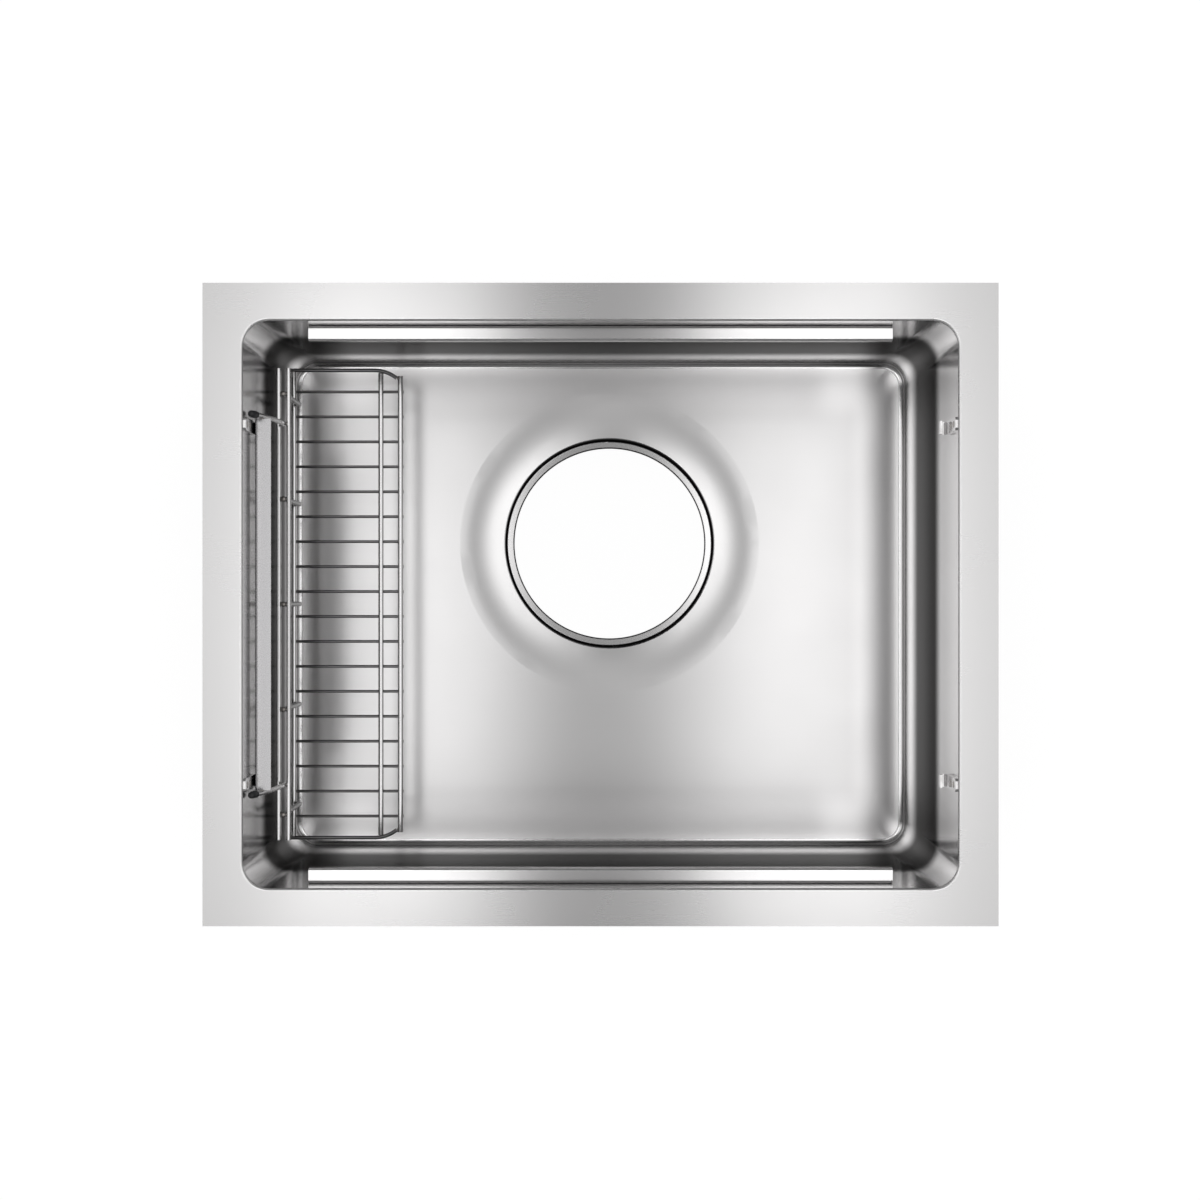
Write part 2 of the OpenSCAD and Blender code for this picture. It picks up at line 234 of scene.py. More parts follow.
def radius_round_drain(tree, place):
    """Distance from the drain's axis."""
    middle_x, middle_y, _ = middle("drain_recess")
    out = add_node(
        tree,
        "ShaderNodeVectorMath",
        {"operation": "SUBTRACT"},
        {0: place, 1: (middle_x, middle_y, 0)},
    ).outputs["Vector"]
    flat_out = add_node(
        tree, "ShaderNodeVectorMath", {"operation": "MULTIPLY"}, {0: out, 1: (1, 1, 0)}
    ).outputs["Vector"]
    return add_node(
        tree, "ShaderNodeVectorMath", {"operation": "LENGTH"}, {0: flat_out}
    ).outputs["Value"]


def painted_shade_ramp(tree, distance, painted_shade_bands):
    """Painted shade as grey levels along a distance, from pairs of millimetres and a level."""
    low, high = painted_shade_bands[0][0], painted_shade_bands[-1][0]
    part = add_node(
        tree,
        "ShaderNodeMapRange",
        inputs={"Value": distance, "From Min": low * MM, "From Max": high * MM},
    ).outputs["Result"]
    ramp = add_node(tree, "ShaderNodeValToRGB", inputs={"Fac": part})
    ramp.color_ramp.interpolation = "EASE"
    stops = ramp.color_ramp.elements
    for index, (distance_mm, level) in enumerate(painted_shade_bands):
        place_on_ramp = (distance_mm - low) / (high - low)
        stop = stops[index] if index < 2 else stops.new(place_on_ramp)
        stop.position = place_on_ramp
        stop.color = (level, level, level, 1.0)
    return ramp.outputs["Color"]


# Cold-rolled stainless sheet with a satin finish, brushed along one direction and then drawn.
# The eye sees soft bands of light across the brushing, faint hairlines and slow, cloudy changes.
# Where asked, painted shade darkens it by place, and painted light makes the floor's border
# paler.
def satin_stainless(
    name,
    colour,
    roughness,
    hairline_stretch,
    anisotropy,
    tangent,
    measure=None,
    painted_shade_bands=(),
    painted_light_border=0,
):
    material = new_material(name)
    tree = material.node_tree
    place = add_node(tree, "ShaderNodeTexCoord").outputs["Object"]
    stretched = add_node(
        tree, "ShaderNodeMapping", inputs={"Vector": place, "Scale": hairline_stretch}
    ).outputs["Vector"]
    hairlines = add_node(
        tree,
        "ShaderNodeTexNoise",
        inputs={
            "Vector": stretched,
            "Scale": per_mm(HAIRLINE_GAP),
            "Detail": 3.0,
            "Roughness": 0.6,
        },
    ).outputs["Fac"]
    clouds = add_node(
        tree,
        "ShaderNodeTexNoise",
        inputs={"Vector": place, "Scale": per_mm(CLOUD_W), "Detail": 2.0, "Roughness": 0.5},
    ).outputs["Fac"]
    mixed = add_node(
        tree,
        "ShaderNodeMath",
        {"operation": "MULTIPLY_ADD"},
        {0: hairlines, 1: HAIRLINE_SHARE, 2: clouds},
    ).outputs["Value"]
    uneven_roughness = add_node(
        tree,
        "ShaderNodeMapRange",
        inputs={
            "Value": mixed,
            "From Min": 0.35,
            "From Max": 1.0,
            "To Min": roughness - HAIRLINE_ROUGHNESS,
            "To Max": roughness + HAIRLINE_ROUGHNESS,
        },
    ).outputs["Result"]
    dark = tuple(c * (1 - HAIRLINE_TONE) for c in colour) + (1.0,)
    light = tuple(c * (1 + HAIRLINE_TONE) for c in colour) + (1.0,)
    tone = add_node(
        tree, "ShaderNodeMix", {"data_type": "RGBA"}, {"Factor": hairlines, 6: dark, 7: light}
    ).outputs[2]
    # Painted shade: grey levels by place darken the steel's colour.
    if painted_shade_bands:
        painted_shade = painted_shade_ramp(tree, measure(tree, place), painted_shade_bands)
        tone = add_node(
            tree,
            "ShaderNodeMix",
            {"data_type": "RGBA", "blend_type": "MULTIPLY"},
            {"Factor": 1.0, 6: tone, 7: painted_shade},
        ).outputs[2]
    if painted_light_border:
        # Painted light along the walls, to make up for the walls' dark band that the floor
        # mirrors.
        pale = add_node(
            tree,
            "ShaderNodeMapRange",
            {"interpolation_type": "SMOOTHSTEP"},
            {
                "Value": reach_past(tree, place, painted_light_border),
                "From Min": 0.0,
                "From Max": BORDER_FADE * painted_light_border * MM,
                "To Min": FLOOR_SHADE,
                "To Max": BORDER_PAINTED_LIGHT,
            },
        ).outputs["Result"]
        tone = add_node(
            tree, "ShaderNodeVectorMath", {"operation": "SCALE"}, {0: tone, "Scale": pale}
        ).outputs["Vector"]
    grooves = add_node(
        tree,
        "ShaderNodeBump",
        inputs={"Height": hairlines, "Strength": 0.02, "Distance": HAIRLINE_DEPTH * MM},
    ).outputs["Normal"]
    inputs = {
        "Base Color": tone,
        "Metallic": 1.0,
        "Roughness": uneven_roughness,
        "Normal": grooves,
        "Anisotropic": anisotropy,
    }
    # The painted shade darkens the steel's reflections as well.
    if painted_shade_bands:
        inputs["Specular Tint"] = painted_shade
    if anisotropy:
        inputs["Tangent"] = add_node(
            tree, "ShaderNodeCombineXYZ", inputs={0: tangent[0], 1: tangent[1], 2: tangent[2]}
        ).outputs["Vector"]
    steel = add_node(tree, "ShaderNodeBsdfPrincipled", inputs=inputs).outputs["BSDF"]
    add_node(tree, "ShaderNodeOutputMaterial", inputs={"Surface": steel})
    return material


# Stainless wire, cold drawn through a die and then electropolished.
# The eye sees a bright line along each wire with dark sides, and faint drawing marks.
def drawn_wire_steel(name, colour, roughness):
    material = new_material(name)
    tree = material.node_tree
    place = add_node(tree, "ShaderNodeTexCoord").outputs["Object"]
    marks = add_node(
        tree,
        "ShaderNodeTexNoise",
        inputs={
            "Vector": place,
            "Scale": per_mm(DIE_MARK_L),
            "Detail": 4.0,
            "Roughness": 0.55,
        },
    ).outputs["Fac"]
    uneven_roughness = add_node(
        tree,
        "ShaderNodeMapRange",
        inputs={"Value": marks, "To Min": roughness - 0.04, "To Max": roughness + 0.05},
    ).outputs["Result"]
    fine_bump = add_node(
        tree,
        "ShaderNodeBump",
        inputs={"Height": marks, "Strength": 0.1, "Distance": 0.05 * MM},
    ).outputs["Normal"]
    steel = add_node(
        tree,
        "ShaderNodeBsdfPrincipled",
        inputs={
            "Base Color": colour + (1.0,),
            "Metallic": 1.0,
            "Roughness": uneven_roughness,
            "Normal": fine_bump,
        },
    ).outputs["BSDF"]
    add_node(tree, "ShaderNodeOutputMaterial", inputs={"Surface": steel})
    return material


# Moulded rubber: dipped nitrile on the rack's tips, butyl sheet on the pads under the floor.
# The eye sees a dark matt skin with a fine grain and a soft, wide highlight.
def moulded_rubber(name, colour, roughness, grain_mm, grain_depth_mm):
    material = new_material(name)
    tree = material.node_tree
    place = add_node(tree, "ShaderNodeTexCoord").outputs["Object"]
    grain = add_node(
        tree,
        "ShaderNodeTexNoise",
        inputs={"Vector": place, "Scale": per_mm(grain_mm), "Detail": 3.0},
    ).outputs["Fac"]
    dark = tuple(c * 0.8 for c in colour) + (1.0,)
    light = tuple(c * 1.2 for c in colour) + (1.0,)
    tone = add_node(
        tree, "ShaderNodeMix", {"data_type": "RGBA"}, {"Factor": grain, 6: dark, 7: light}
    ).outputs[2]
    skin = add_node(
        tree,
        "ShaderNodeBump",
        inputs={"Height": grain, "Strength": 0.4, "Distance": grain_depth_mm * MM},
    ).outputs["Normal"]
    rubber = add_node(
        tree,
        "ShaderNodeBsdfPrincipled",
        inputs={"Base Color": tone, "Roughness": roughness, "IOR": 1.52, "Normal": skin},
    ).outputs["BSDF"]
    add_node(tree, "ShaderNodeOutputMaterial", inputs={"Surface": rubber})
    return material


def dress(node_name, material):
    """Gives a CAD node its material."""
    node = frame["nodes"][node_name]
    node.data.materials.clear()
    node.data.materials.append(material)
    return node


def soften_edges(node, radius_mm):
    """Rounds the sharp edges of a CAD node with a bevel, as deburring does."""
    bevel = node.modifiers.new("deburred_edges", "BEVEL")
    bevel.width = radius_mm * MM
    bevel.segments = 3
    bevel.limit_method = "ANGLE"
    bevel.angle_limit = math.radians(50)
    bevel.harden_normals = True


def new_piece(name, shape, material, body):
    """Turns a mesh under construction into a smooth piece that rides on a body."""
    if not shape.faces:
        raise RuntimeError(f"{name} has no faces")
    mesh = bpy.data.meshes.new(name)
    bmesh.ops.recalc_face_normals(shape, faces=shape.faces)
    shape.to_mesh(mesh)
    shape.free()
    mesh.shade_smooth()
    mesh.materials.append(material)
    piece = bpy.data.objects.new(name, mesh)
    bpy.context.scene.collection.objects.link(piece)
    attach(piece, body)
    return piece


def add_bead(shape, place, radii_mm, turn):
    """Adds one weld bead, a flattened drop with a rippled skin. The turn shifts its ripples."""
    drop = bmesh.ops.create_icosphere(shape, subdivisions=2, radius=1)
    for vertex in drop["verts"]:
        along, across, up = vertex.co
        wave = math.sin(RIPPLES_ALONG * along + turn) * math.cos(RIPPLES_ACROSS * across - turn)
        ripple = 1 + RIPPLE_DEPTH * wave
        vertex.co = place + Vector(
            (along * radii_mm[0], across * radii_mm[1], up * radii_mm[2])
        ) * (MM * ripple)


def join_rings(shape, near, far):
    """Joins two rings of points with a band of faces."""
    for step in range(len(near)):
        after = (step + 1) % len(near)
        shape.faces.new((near[step], near[after], far[after], far[step]))


def skin_rings(shape, rings):
    """Joins rings of points into one closed skin with flat ends."""
    for near, far in zip(rings, rings[1:]):
        join_rings(shape, near, far)
    shape.faces.new(rings[0][::-1])
    shape.faces.new(rings[-1])


def add_turned_shape(shape, profile_mm, place, axis, sides):
    """Adds a shape turned about an axis, from pairs of radius and height along the axis."""
    side = axis.orthogonal().normalized()
    other = axis.cross(side)
    rings = []
    for radius, height in profile_mm:
        ring = []
        for step in range(sides):
            angle = math.tau * step / sides
            out = side * math.cos(angle) + other * math.sin(angle)
            ring.append(shape.verts.new(place + (axis * height + out * radius) * MM))
        rings.append(ring)
    skin_rings(shape, rings)


def arm_bend():
    """The bend of the rack's arms: its angle, its radius in millimetres and its centre."""
    angle = 2 * math.atan(ARM_LEAN / ARM_RISE)
    radius = ARM_RISE / math.sin(angle)
    foot_x = (middle("outer_bar").x + middle("inner_bar").x) / 2
    return angle, radius, Vector((foot_x - radius * MM, 0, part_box("outer_bar")[1].z))


def arm_point(rise, y):
    """Point on the arm's centre line, at a rise above the top of the bars."""
    _, radius, centre = arm_bend()
    x = centre.x + math.sqrt((radius * MM) ** 2 - rise**2)
    return Vector((x, y, centre.z + rise))


class SheetSettings(bpy.types.PropertyGroup):
    steel_colour: FloatVectorProperty(
        name="Sheet steel",
        description="Colour of the drawn sheet",
        subtype="COLOR",
        size=3,
        min=0,
        max=1,
        default=linear("#D6D5D5"),
    )
    flange_roughness: FloatProperty(
        name="Flange roughness",
        description="Roughness of the flange",
        subtype="FACTOR",
        min=0,
        max=1,
        default=0.27,
    )
    floor_roughness: FloatProperty(
        name="Floor roughness",
        description="Roughness of the bowl's floor",
        subtype="FACTOR",
        min=0,
        max=1,
        default=0.3,
    )
    wall_roughness: FloatProperty(
        name="Wall roughness",
        description="Roughness of the bowl's walls",
        subtype="FACTOR",
        min=0,
        max=1,
        default=0.2,
    )


class RackSettings(bpy.types.PropertyGroup):
    wire_colour: FloatVectorProperty(
        name="Wire steel",
        description="Colour of the rack's wires and bars",
        subtype="COLOR",
        size=3,
        min=0,
        max=1,
        default=linear("#CFCECE"),
    )
    # Painted shade: the thin wires are the same steel as the bars, painted darker so that they
    # show dark.
    cross_wire_painted_shade_colour: FloatVectorProperty(
        name="Cross wire steel",
        description="Colour of the thin wires across the tray",
        subtype="COLOR",
        size=3,
        min=0,
        max=1,
        default=linear("#7A7979"),
    )
    rubber_colour: FloatVectorProperty(
        name="Tip rubber",
        description="Colour of the tips on the rack's arms",
        subtype="COLOR",
        size=3,
        min=0,
        max=1,
        default=linear("#202123"),
    )


class StudioSettings(bpy.types.PropertyGroup):
    camera_height: FloatProperty(
        name="Camera height",
        description="Height of the camera above the flange",
        unit="LENGTH",
        min=0.5,
        default=1.052,
    )
    box_height: FloatProperty(
        name="Softbox height",
        description="Height of the two softboxes above the flange",
        unit="LENGTH",
        min=1,
        default=1.8,
    )
    box_power: FloatProperty(
        name="Softbox power",
        description="Power of each softbox",
        unit="POWER",
        min=0,
        default=2.3,
    )


class SINK_OT_bowl(bpy.types.Operator):
    """Gives the bowl and its flange their satin steel, with painted shade and light in the bowl
    """

    bl_idname = "sink.bowl"
    bl_label = "Bowl and flange"

    def execute(self, context):
        sheet = context.scene.sink_sheet
        colour = tuple(sheet.steel_colour)
        flange = satin_stainless(
            "satin_stainless_flange",
            colour,
            sheet.flange_roughness,
            hairline_stretch=(0.004, 1, 1),
            anisotropy=0.7,
            tangent=(0, 1, 0),
        )
        wall = satin_stainless(
            "satin_stainless_wall_painted_shade",
            colour,
            sheet.wall_roughness,
            hairline_stretch=(0.004, 0.004, 1),
            anisotropy=0.5,
            tangent=(0, 0, 1),
            measure=height_inside,
            painted_shade_bands=WALL_PAINTED_SHADE,
        )
        floor = satin_stainless(
            "satin_stainless_floor_painted_light",
            colour,
            sheet.floor_roughness,
            hairline_stretch=(0.004, 1, 1),
            anisotropy=0.7,
            tangent=(0, 1, 0),
            painted_light_border=FLOOR_PAINTED_LIGHT_BORDER,
        )
        recess = satin_stainless(
            "pressed_stainless_recess_painted_shade",
            colour,
            roughness=0.14,
            hairline_stretch=(0.05, 1, 1),
            anisotropy=0.0,
            tangent=(0, 1, 0),
            measure=radius_round_drain,
            painted_shade_bands=RECESS_PAINTED_SHADE,
        )
        dress("bowl_floor", floor)
        dress("drain_recess", recess)
        dress("bowl_wall", wall)
        dress("flange", flange)
        return {"FINISHED"}


class SINK_OT_fittings(bpy.types.Operator):
    """Finishes the accessory rails and the wall hooks"""

    bl_idname = "sink.fittings"
    bl_label = "Rails and hooks"

    def execute(self, context):
        sheet = context.scene.sink_sheet
        colour = tuple(sheet.steel_colour)
        rail = satin_stainless(
            "hairline_stainless_rail",
            colour,
            roughness=0.2,
            hairline_stretch=(0.02, 1, 1),
            anisotropy=0.6,
            tangent=(0, 1, 0),
        )
        hook = drawn_wire_steel("polished_stainless_hook", colour, roughness=0.18)
        for name in ("back_rail", "front_rail"):
            soften_edges(dress(name, rail), STRIP_EDGE_R)
        for name in HOOKS:
            soften_edges(dress(name, hook), STRIP_EDGE_R)
        return {"FINISHED"}


class SINK_OT_spot_welds(bpy.types.Operator):
    """Marks the spot welds of the rails and hooks, inside the bowl and on its outer face"""

    bl_idname = "sink.spot_welds"
    bl_label = "Spot-weld marks"

    # Radius and height of a mark, in millimetres: the electrode leaves a low crater with a
    # raised ring.
    profile = ((2.6, 0.01), (2.2, 0.10), (1.8, 0.14), (1.3, 0.07), (0.5, 0.04))
    sides = 20
    # Marks along each rail, and in metres their spacing and how far they lie below the rim.
    rail_marks = 9
    rail_mark_pitch = 0.050
    rail_mark_drop = 0.0265
    hook_mark_drops = (0.010, 0.018)

    def execute(self, context):
        tint = drawn_wire_steel("heat_tinted_spot_weld", linear("#B4B0AA"), roughness=0.34)
        rim_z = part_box("flange")[1].z
        outer_x, outer_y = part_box("bowl_wall")[1].xy
        inner_x = outer_x - SHEET_T * MM - STRIP_T * MM
        inner_y = outer_y - SHEET_T * MM - STRIP_T * MM
        shape = bmesh.new()
        for side in (-1, 1):
            for number in range(self.rail_marks):
                x = (number - (self.rail_marks - 1) / 2) * self.rail_mark_pitch
                for y, out in ((inner_y, -side), (outer_y, side)):
                    place = Vector((x, side * y, rim_z - self.rail_mark_drop))
                    add_turned_shape(shape, self.profile, place, Vector((0, out, 0)), self.sides)
        for name in HOOKS:
            hook = middle(name)
            side = math.copysign(1, hook.x)
            for drop in self.hook_mark_drops:
                for x, out in ((inner_x, -side), (outer_x, side)):
                    place = Vector((side * x, hook.y, rim_z - drop))
                    add_turned_shape(shape, self.profile, place, Vector((out, 0, 0)), self.sides)
        new_piece("spot_weld_marks", shape, tint, SINK_BODY)
        return {"FINISHED"}


class SINK_OT_pads(bpy.types.Operator):
    """Moulds the rubber pads under the floor, with grooves in a diamond pattern"""

    bl_idname = "sink.pads"
    bl_label = "Damping pads"

    # In metres: the mesh's step, the rounding of the pads' corners and lower edges, the width of
    # the diamonds from corner to corner, and the grooves' half width and depth.
    step = 0.002
    corner_r = 0.010
    edge_round = 0.0012
    diamond = 0.024
    groove_half_w = 0.0014
    groove_depth = 0.0009

    def execute(self, context):
        rubber = moulded_rubber(
            "butyl_damping_pad",
            linear("#3A3C3F"),
            roughness=0.7,
            grain_mm=2.5,
            grain_depth_mm=0.1,
        )
        for name in ("left_pad", "right_pad", "front_pad"):
            shape = self.moulding(name)
            pad = new_piece("moulded_" + name, shape, rubber, SINK_BODY)
            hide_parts(name)
        return {"FINISHED"}

    def moulding(self, name):
        """The pad as one closed mesh: its underside first, then its edge and its flat top."""
        low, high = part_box(name)
        size = high - low
        centre = (high + low) / 2
        shape = bmesh.new()
        bmesh.ops.create_grid(
            shape,
            x_segments=round(size.x / self.step),
            y_segments=round(size.y / self.step),
            size=0.5,
        )
        straight = Vector((size.x / 2 - self.corner_r, size.y / 2 - self.corner_r))
        for vertex in shape.verts:
            x, y = vertex.co.x * size.x, vertex.co.y * size.y
            past = Vector((max(abs(x) - straight.x, 0), max(abs(y) - straight.y, 0)))
            if past.x and past.y:
                shrink = max(past.x, past.y) / past.length
                x = math.copysign(straight.x + past.x * shrink, x)
                y = math.copysign(straight.y + past.y * shrink, y)
                past *= shrink
            inset = self.corner_r - max(past.x, past.y, past.length)
            rise = self.edge_round * (1 - min(1, inset / self.edge_round)) ** 2
            vertex.co = Vector((centre.x + x, centre.y + y, low.z + rise + self.groove(x, y)))
        # The outline is sorted round the middle, so that the mesh is the same in every run.
        outline = [vertex for vertex in shape.verts if vertex.is_boundary]
        outline.sort(key=lambda vertex: math.atan2(*(vertex.co - centre).yx))
        top = [shape.verts.new((*vertex.co.xy, high.z)) for vertex in outline]
        join_rings(shape, outline, top)
        shape.faces.new(top)
        return shape

    def groove(self, x, y):
        """Height by which a groove cuts into the pad's underside at this place."""
        gaps = []
        for line in (x + y, x - y):
            part = line / self.diamond
            gaps.append(abs(part - round(part)) * self.diamond / math.sqrt(2))
        return self.groove_depth * max(0, 1 - (min(gaps) / self.groove_half_w) ** 2)


class SINK_OT_rack_welds(bpy.types.Operator):
    """Puts a weld bead wherever two wires of the rack meet"""

    bl_idname = "sink.rack_welds"
    bl_label = "Rack's weld beads"

    tray_rails = ("tray_back_rail", "tray_inner_rail", "tray_front_rail")
    # Half the size of each bead along X, Y and Z, in millimetres, by what the wires meet.
    on_tray_rail = (2.0, 1.9, 0.75)
    on_bar = (0.8, 1.7, 1.7)
    on_upright_top = (1.9, 2.3, 0.9)
    on_upright_foot = (0.8, 1.8, 1.8)
    on_strip_end = (2.4, 0.8, 1.0)
    on_end_wire = (2.3, 0.9, 1.8)
    on_front_rail_end = (0.9, 1.7, 1.6)

    # The last value of each add_bead call turns the ripples by the bead's place, so that no two
    # beads look alike.
    def execute(self, context):
        tint = drawn_wire_steel("heat_tinted_weld", linear("#8E8A86"), roughness=0.34)
        tray = bmesh.new()
        frame_beads = bmesh.new()
        under_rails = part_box("tray_back_rail")[0].z
        names = sorted(frame["nodes"])
        for name in names:
            if name.startswith("cross_wire"):
                y = middle(name).y
                for number, rail in enumerate(self.tray_rails):
                    place = Vector((middle(rail).x, y, under_rails))
                    add_bead(tray, place, self.on_tray_rail, number + 40 * y)
        bars = (middle("outer_bar"), middle("inner_bar"))
        between = (bars[0].x + bars[1].x) / 2
        bar_low, bar_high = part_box("outer_bar")
        bar_r = (bar_high.z - bar_low.z) / 2
        uprights = [name for name in names if name.startswith("upright")]
        for name in (*uprights, "rear_arm", "front_arm"):
            y = middle(name).y
            for side in (-1, 1):
                place = Vector((between + side * bar_r, y, bars[0].z))
                add_bead(frame_beads, place, self.on_bar, 30 * y + side)
        for name in uprights:
            y = middle(name).y
            top = Vector((between, y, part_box(name)[1].z))
            add_bead(frame_beads, top, self.on_upright_top, 10 * top.y)
            foot = Vector((between - bar_r, y, middle("tray_back_rail").z))
            add_bead(frame_beads, foot, self.on_upright_foot, 50 * y)
        strip_low, strip_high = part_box("hanger_strip")
        strip_z = strip_high.z - STRIP_T * MM / 2
        for y in (strip_low.y, strip_high.y):
            place = arm_point(strip_z - bar_high.z, y)
            add_bead(frame_beads, place, self.on_strip_end, 20 * y)
        self.add_end_wire_beads(frame_beads)
        new_piece("tray_weld_beads", tray, tint, RACK_BODY)
        new_piece("frame_weld_beads", frame_beads, tint, RACK_BODY)
        return {"FINISHED"}

    def add_end_wire_beads(self, shape):
        """Adds the beads where the tray's two end wires meet its three rails."""
        for side, name in ((1, "rear_end_wire"), (-1, "front_end_wire")):
            low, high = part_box(name)
            outer = high.y if side > 0 else low.y
            wire_d = high.z - low.z
            for rail in self.tray_rails[:2]:
                place = Vector((middle(rail).x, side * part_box(rail)[1].y, middle(rail).z))
                add_bead(shape, place, self.on_end_wire, outer * 60 + wire_d)
            front_low, front_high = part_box("tray_front_rail")
            place = Vector((front_low.x, side * (front_high.y - wire_d / 2), middle(name).z))
            add_bead(shape, place, self.on_front_rail_end, outer * 70)


class SINK_OT_tips(bpy.types.Operator):
    """Moulds the two rubber tips on the arms, with a rounded end and a grip groove"""

    bl_idname = "sink.tips"
    bl_label = "Rubber tips"

    # Distance from the open end and radius of the tip there, in millimetres.
    profile = (
        (0.0, 2.06),
        (0.0, 2.5),
        (0.12, 2.7),
        (0.4, 2.8),
        (1.3, 2.8),
        (1.55, 2.66),
        (1.9, 2.66),
        (2.15, 2.78),
        (5.9, 2.74),
        (7.2, 2.6),
        (8.1, 2.2),
        (8.6, 1.65),
        (8.88, 0.95),
        (8.98, 0.35),
    )
    sides = 28

    def execute(self, context):
        rubber = moulded_rubber(
            "dipped_nitrile_tip",
            tuple(context.scene.sink_rack.rubber_colour),
            roughness=0.5,
            grain_mm=1.0,
            grain_depth_mm=0.05,
        )
        for name in ("rear_arm_tip", "front_arm_tip"):
            shape = self.moulding(middle(name).y)
            tip = new_piece("moulded_" + name, shape, rubber, RACK_BODY)
            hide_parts(name)
        return {"FINISHED"}

    def moulding(self, y):
        """The tip as one closed mesh, drawn along the arm's bend."""
        arm_angle, bend_r, centre = arm_bend()
        centre.y = y
        open_angle = arm_angle + (TIP_END - TIP_L) / bend_r
        shape = bmesh.new()
        rings = []
        for along, radius in self.profile:
            angle = open_angle + along / bend_r
            out = Vector((math.cos(angle), 0, math.sin(angle)))
            ring = []
            for step in range(self.sides):
                turn = math.tau * step / self.sides
                spoke = out * math.cos(turn) + Vector((0, math.sin(turn), 0))
                ring.append(shape.verts.new(centre + (out * bend_r + spoke * radius) * MM))
            rings.append(ring)
        skin_rings(shape, rings)
        return shape


class SINK_OT_rack(bpy.types.Operator):
    """Finishes the rack's strip, arms, bars and tray"""

    bl_idname = "sink.rack"
    bl_label = "Rack"

    def execute(self, context):
        rack = context.scene.sink_rack
        wire = drawn_wire_steel("electropolished_wire", tuple(rack.wire_colour), roughness=0.16)
        # Painted shade: the thin wires get the same steel, painted darker.
        painted_dark_wire = drawn_wire_steel(
            "drawn_cross_wire_painted_dark", tuple(rack.cross_wire_painted_shade_colour), roughness=0.3
        )
        strip = drawn_wire_steel("polished_stainless_strip", linear("#ABAAAB"), roughness=0.26)
        for name, node in frame["nodes"].items():
            if node["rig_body"] != RACK_BODY or name.endswith("_tip"):
                continue
            if name == "hanger_strip":
                soften_edges(dress(name, strip), STRIP_EDGE_R)
            elif name.startswith(("cross_wire", "upright")) or name.endswith("end_wire"):
                soften_edges(dress(name, painted_dark_wire), WIRE_EDGE_R)
            else:
                soften_edges(dress(name, wire), WIRE_EDGE_R)
        return {"FINISHED"}


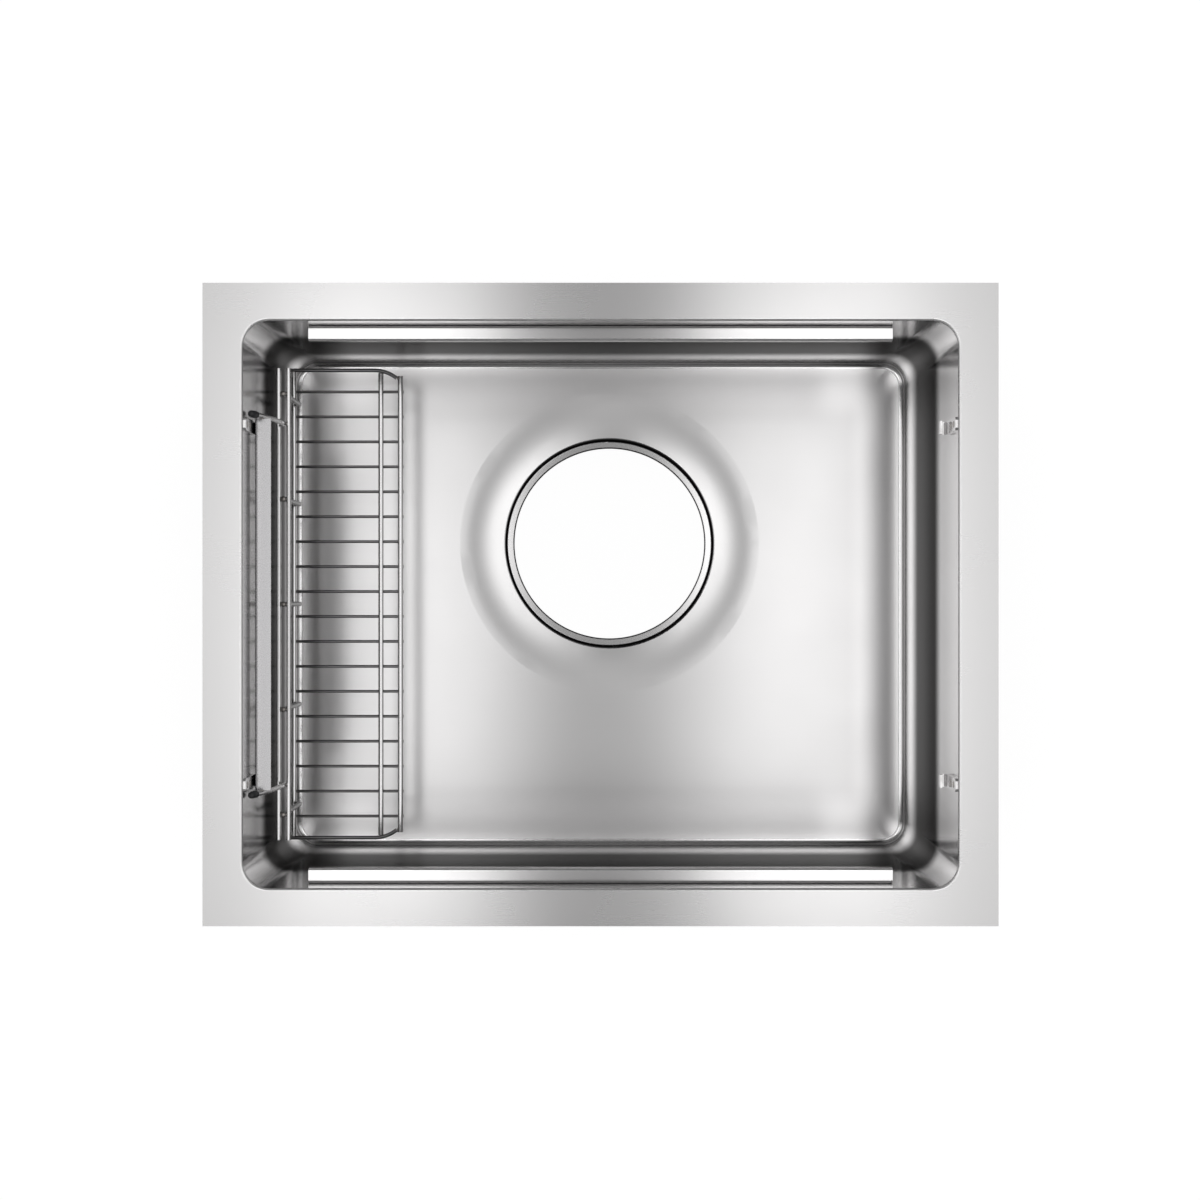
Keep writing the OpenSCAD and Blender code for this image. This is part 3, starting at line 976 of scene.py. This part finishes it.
class SINK_OT_studio(bpy.types.Operator):
    """Sets the pale floor, the soft light and the camera straight above"""

    bl_idname = "sink.studio"
    bl_label = "Studio"

    # In metres: the softboxes' size and their distance beside the sink's middle, and the
    # floor's radius. The floor is a disc with this many sides.
    box_w = 0.45
    box_l = 1.3
    box_x = 0.43
    floor_r = 6
    floor_sides = 96
    # The floor lies this far under the sink, in millimetres, so that their faces don't mix.
    floor_gap = 0.2
    # Share of the white floor that the steel mirrors.
    mirrored_white = 0.35
    # The photo's width and the camera's focal length in pixels, and the film's width and the
    # camera's place beside the sink's middle in millimetres.
    photo_px = 1200
    focal_px = 1396
    film_w = 36
    camera_x = -0.4
    camera_y = 3.4

    def execute(self, context):
        scene = context.scene
        studio = scene.sink_studio
        scene.view_settings.view_transform = "Standard"
        self.make_floor()
        self.make_world(scene)
        rim_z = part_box("flange")[1].z
        for side in (-1, 1):
            lamp = bpy.data.lights.new("softbox", "AREA")
            lamp.shape = "RECTANGLE"
            lamp.size = self.box_w
            lamp.size_y = self.box_l
            lamp.energy = studio.box_power
            box = bpy.data.objects.new(lamp.name, lamp)
            box.location = (side * self.box_x, 0, rim_z + studio.box_height)
            box.visible_camera = False
            scene.collection.objects.link(box)
        lens = bpy.data.cameras.new("camera")
        lens.lens = self.film_w * self.focal_px / self.photo_px
        lens.clip_end = 20
        camera = bpy.data.objects.new("camera", lens)
        camera.location = (self.camera_x * MM, self.camera_y * MM, rim_z + studio.camera_height)
        scene.collection.objects.link(camera)
        scene.camera = camera
        return {"FINISHED"}

    # Matt white paint on a smooth board. The eye sees an even white with the sink's faint shadow.
    def make_floor(self):
        """Lays the studio floor under the sink."""
        mesh = bpy.data.meshes.new("studio_floor")
        shape = bmesh.new()
        bmesh.ops.create_circle(
            shape, cap_ends=True, radius=self.floor_r, segments=self.floor_sides
        )
        shape.to_mesh(mesh)
        shape.free()
        floor = bpy.data.objects.new("studio_floor", mesh)
        floor.location.z = cad_box[0].z - self.floor_gap * MM
        bpy.context.scene.collection.objects.link(floor)
        material = new_material("painted_studio_floor")
        tree = material.node_tree
        path = add_node(tree, "ShaderNodeLightPath")
        # The camera sees white with a faint shadow, and other light falls on pale paint. The
        # steel mirrors a mix of the two, so that its outer sides keep a shade.
        mirrored = add_node(
            tree,
            "ShaderNodeMath",
            {"operation": "MULTIPLY"},
            {0: path.outputs["Is Glossy Ray"], 1: self.mirrored_white},
        ).outputs["Value"]
        seen = add_node(
            tree,
            "ShaderNodeMath",
            {"operation": "MAXIMUM"},
            {0: path.outputs["Is Camera Ray"], 1: mirrored},
        ).outputs["Value"]
        paint = add_node(
            tree, "ShaderNodeBsdfDiffuse", inputs={"Color": linear("#E6E6E6") + (1.0,)}
        ).outputs["BSDF"]
        faint_paint = add_node(
            tree, "ShaderNodeBsdfDiffuse", inputs={"Color": linear("#808080") + (1.0,)}
        ).outputs["BSDF"]
        glow = add_node(tree, "ShaderNodeEmission", inputs={"Strength": 0.88}).outputs["Emission"]
        white = add_node(tree, "ShaderNodeAddShader", inputs={0: faint_paint, 1: glow}).outputs[0]
        upper = add_node(
            tree, "ShaderNodeMixShader", inputs={0: seen, 1: paint, 2: white}
        ).outputs[0]
        # From below the floor is clear, so that it doesn't hide the sink's underside.
        clear = add_node(tree, "ShaderNodeBsdfTransparent").outputs["BSDF"]
        from_below = add_node(tree, "ShaderNodeNewGeometry").outputs["Backfacing"]
        surface = add_node(
            tree, "ShaderNodeMixShader", inputs={0: from_below, 1: upper, 2: clear}
        ).outputs[0]
        add_node(tree, "ShaderNodeOutputMaterial", inputs={"Surface": surface})
        mesh.materials.append(material)

    def make_world(self, scene):
        """Surrounds the sink with soft light, by the direction that it comes from."""
        world = bpy.data.worlds.new("studio_light")
        world.use_nodes = True
        scene.world = world
        tree = world.node_tree
        tree.nodes.clear()
        direction = add_node(tree, "ShaderNodeTexCoord").outputs["Generated"]
        split = add_node(tree, "ShaderNodeSeparateXYZ", inputs={"Vector": direction})
        # The light overhead is bright, with a dim strip from front to back along its middle.
        across = add_node(
            tree, "ShaderNodeMath", {"operation": "ABSOLUTE"}, {0: split.outputs["X"]}
        ).outputs["Value"]
        overhead = add_node(
            tree,
            "ShaderNodeMapRange",
            {"interpolation_type": "SMOOTHSTEP"},
            {"Value": across, "From Min": 0.0, "From Max": 0.16, "To Min": 0.2, "To Max": 1.0},
        ).outputs["Result"]
        # It fades towards the front and the back, and lower down.
        along = add_node(
            tree, "ShaderNodeMath", {"operation": "ABSOLUTE"}, {0: split.outputs["Y"]}
        ).outputs["Value"]
        beside = add_node(
            tree,
            "ShaderNodeMapRange",
            {"interpolation_type": "SMOOTHSTEP"},
            {"Value": along, "From Min": 0.3, "From Max": 0.5, "To Min": 1.0, "To Max": 0.0},
        ).outputs["Result"]
        above = add_node(
            tree,
            "ShaderNodeMapRange",
            {"interpolation_type": "SMOOTHSTEP"},
            {"Value": split.outputs["Z"], "From Min": 0.3, "From Max": 0.5},
        ).outputs["Result"]
        lit = add_node(
            tree, "ShaderNodeMath", {"operation": "MULTIPLY"}, {0: beside, 1: above}
        ).outputs["Value"]
        # The room beside it is pale near the horizon and darker higher up.
        room = add_node(
            tree,
            "ShaderNodeMapRange",
            {"interpolation_type": "SMOOTHSTEP"},
            {
                "Value": split.outputs["Z"],
                "From Min": 0.1,
                "From Max": 0.45,
                "To Min": 0.85,
                "To Max": 0.16,
            },
        ).outputs["Result"]
        level = add_node(
            tree, "ShaderNodeMix", {"data_type": "FLOAT"}, {0: lit, 2: room, 3: overhead}
        ).outputs[0]
        # The camera itself sees plain white behind the sink.
        path = add_node(tree, "ShaderNodeLightPath")
        strength = add_node(
            tree,
            "ShaderNodeMath",
            {"operation": "MAXIMUM"},
            {0: path.outputs["Is Camera Ray"], 1: level},
        ).outputs["Value"]
        glow = add_node(
            tree,
            "ShaderNodeBackground",
            inputs={"Color": (1, 1, 1, 1), "Strength": strength},
        ).outputs["Background"]
        add_node(tree, "ShaderNodeOutputWorld", inputs={"Surface": glow})


class SINK_PT_panel(bpy.types.Panel):
    """Lists the sink's settings and the operators that make its pieces"""

    bl_idname = "SINK_PT_panel"
    bl_label = "Kitchen sink"
    bl_space_type = "VIEW_3D"
    bl_region_type = "UI"
    bl_category = "Sink"

    def draw(self, context):
        for name, group in SETTINGS.items():
            for setting in group.__annotations__:
                self.layout.prop(getattr(context.scene, name), setting)
        for operator in OPERATORS:
            self.layout.operator(operator.bl_idname)


OPERATORS = (
    SINK_OT_bowl,
    SINK_OT_fittings,
    SINK_OT_spot_welds,
    SINK_OT_pads,
    SINK_OT_rack,
    SINK_OT_rack_welds,
    SINK_OT_tips,
    SINK_OT_studio,
)
SETTINGS = {
    "sink_sheet": SheetSettings,
    "sink_rack": RackSettings,
    "sink_studio": StudioSettings,
}


def register():
    for group in (*SETTINGS.values(), *OPERATORS, SINK_PT_panel):
        bpy.utils.register_class(group)
    for name, group in SETTINGS.items():
        setattr(bpy.types.Scene, name, PointerProperty(type=group))


def unregister():
    for name in SETTINGS:
        delattr(bpy.types.Scene, name)
    for group in (SINK_PT_panel, *reversed(OPERATORS), *reversed(SETTINGS.values())):
        bpy.utils.unregister_class(group)


def main():
    register()
    bpy.ops.sink.bowl()
    bpy.ops.sink.fittings()
    bpy.ops.sink.spot_welds()
    bpy.ops.sink.pads()
    bpy.ops.sink.rack()
    bpy.ops.sink.rack_welds()
    bpy.ops.sink.tips()
    bpy.ops.sink.studio()


if __name__ == "__main__":
    main()
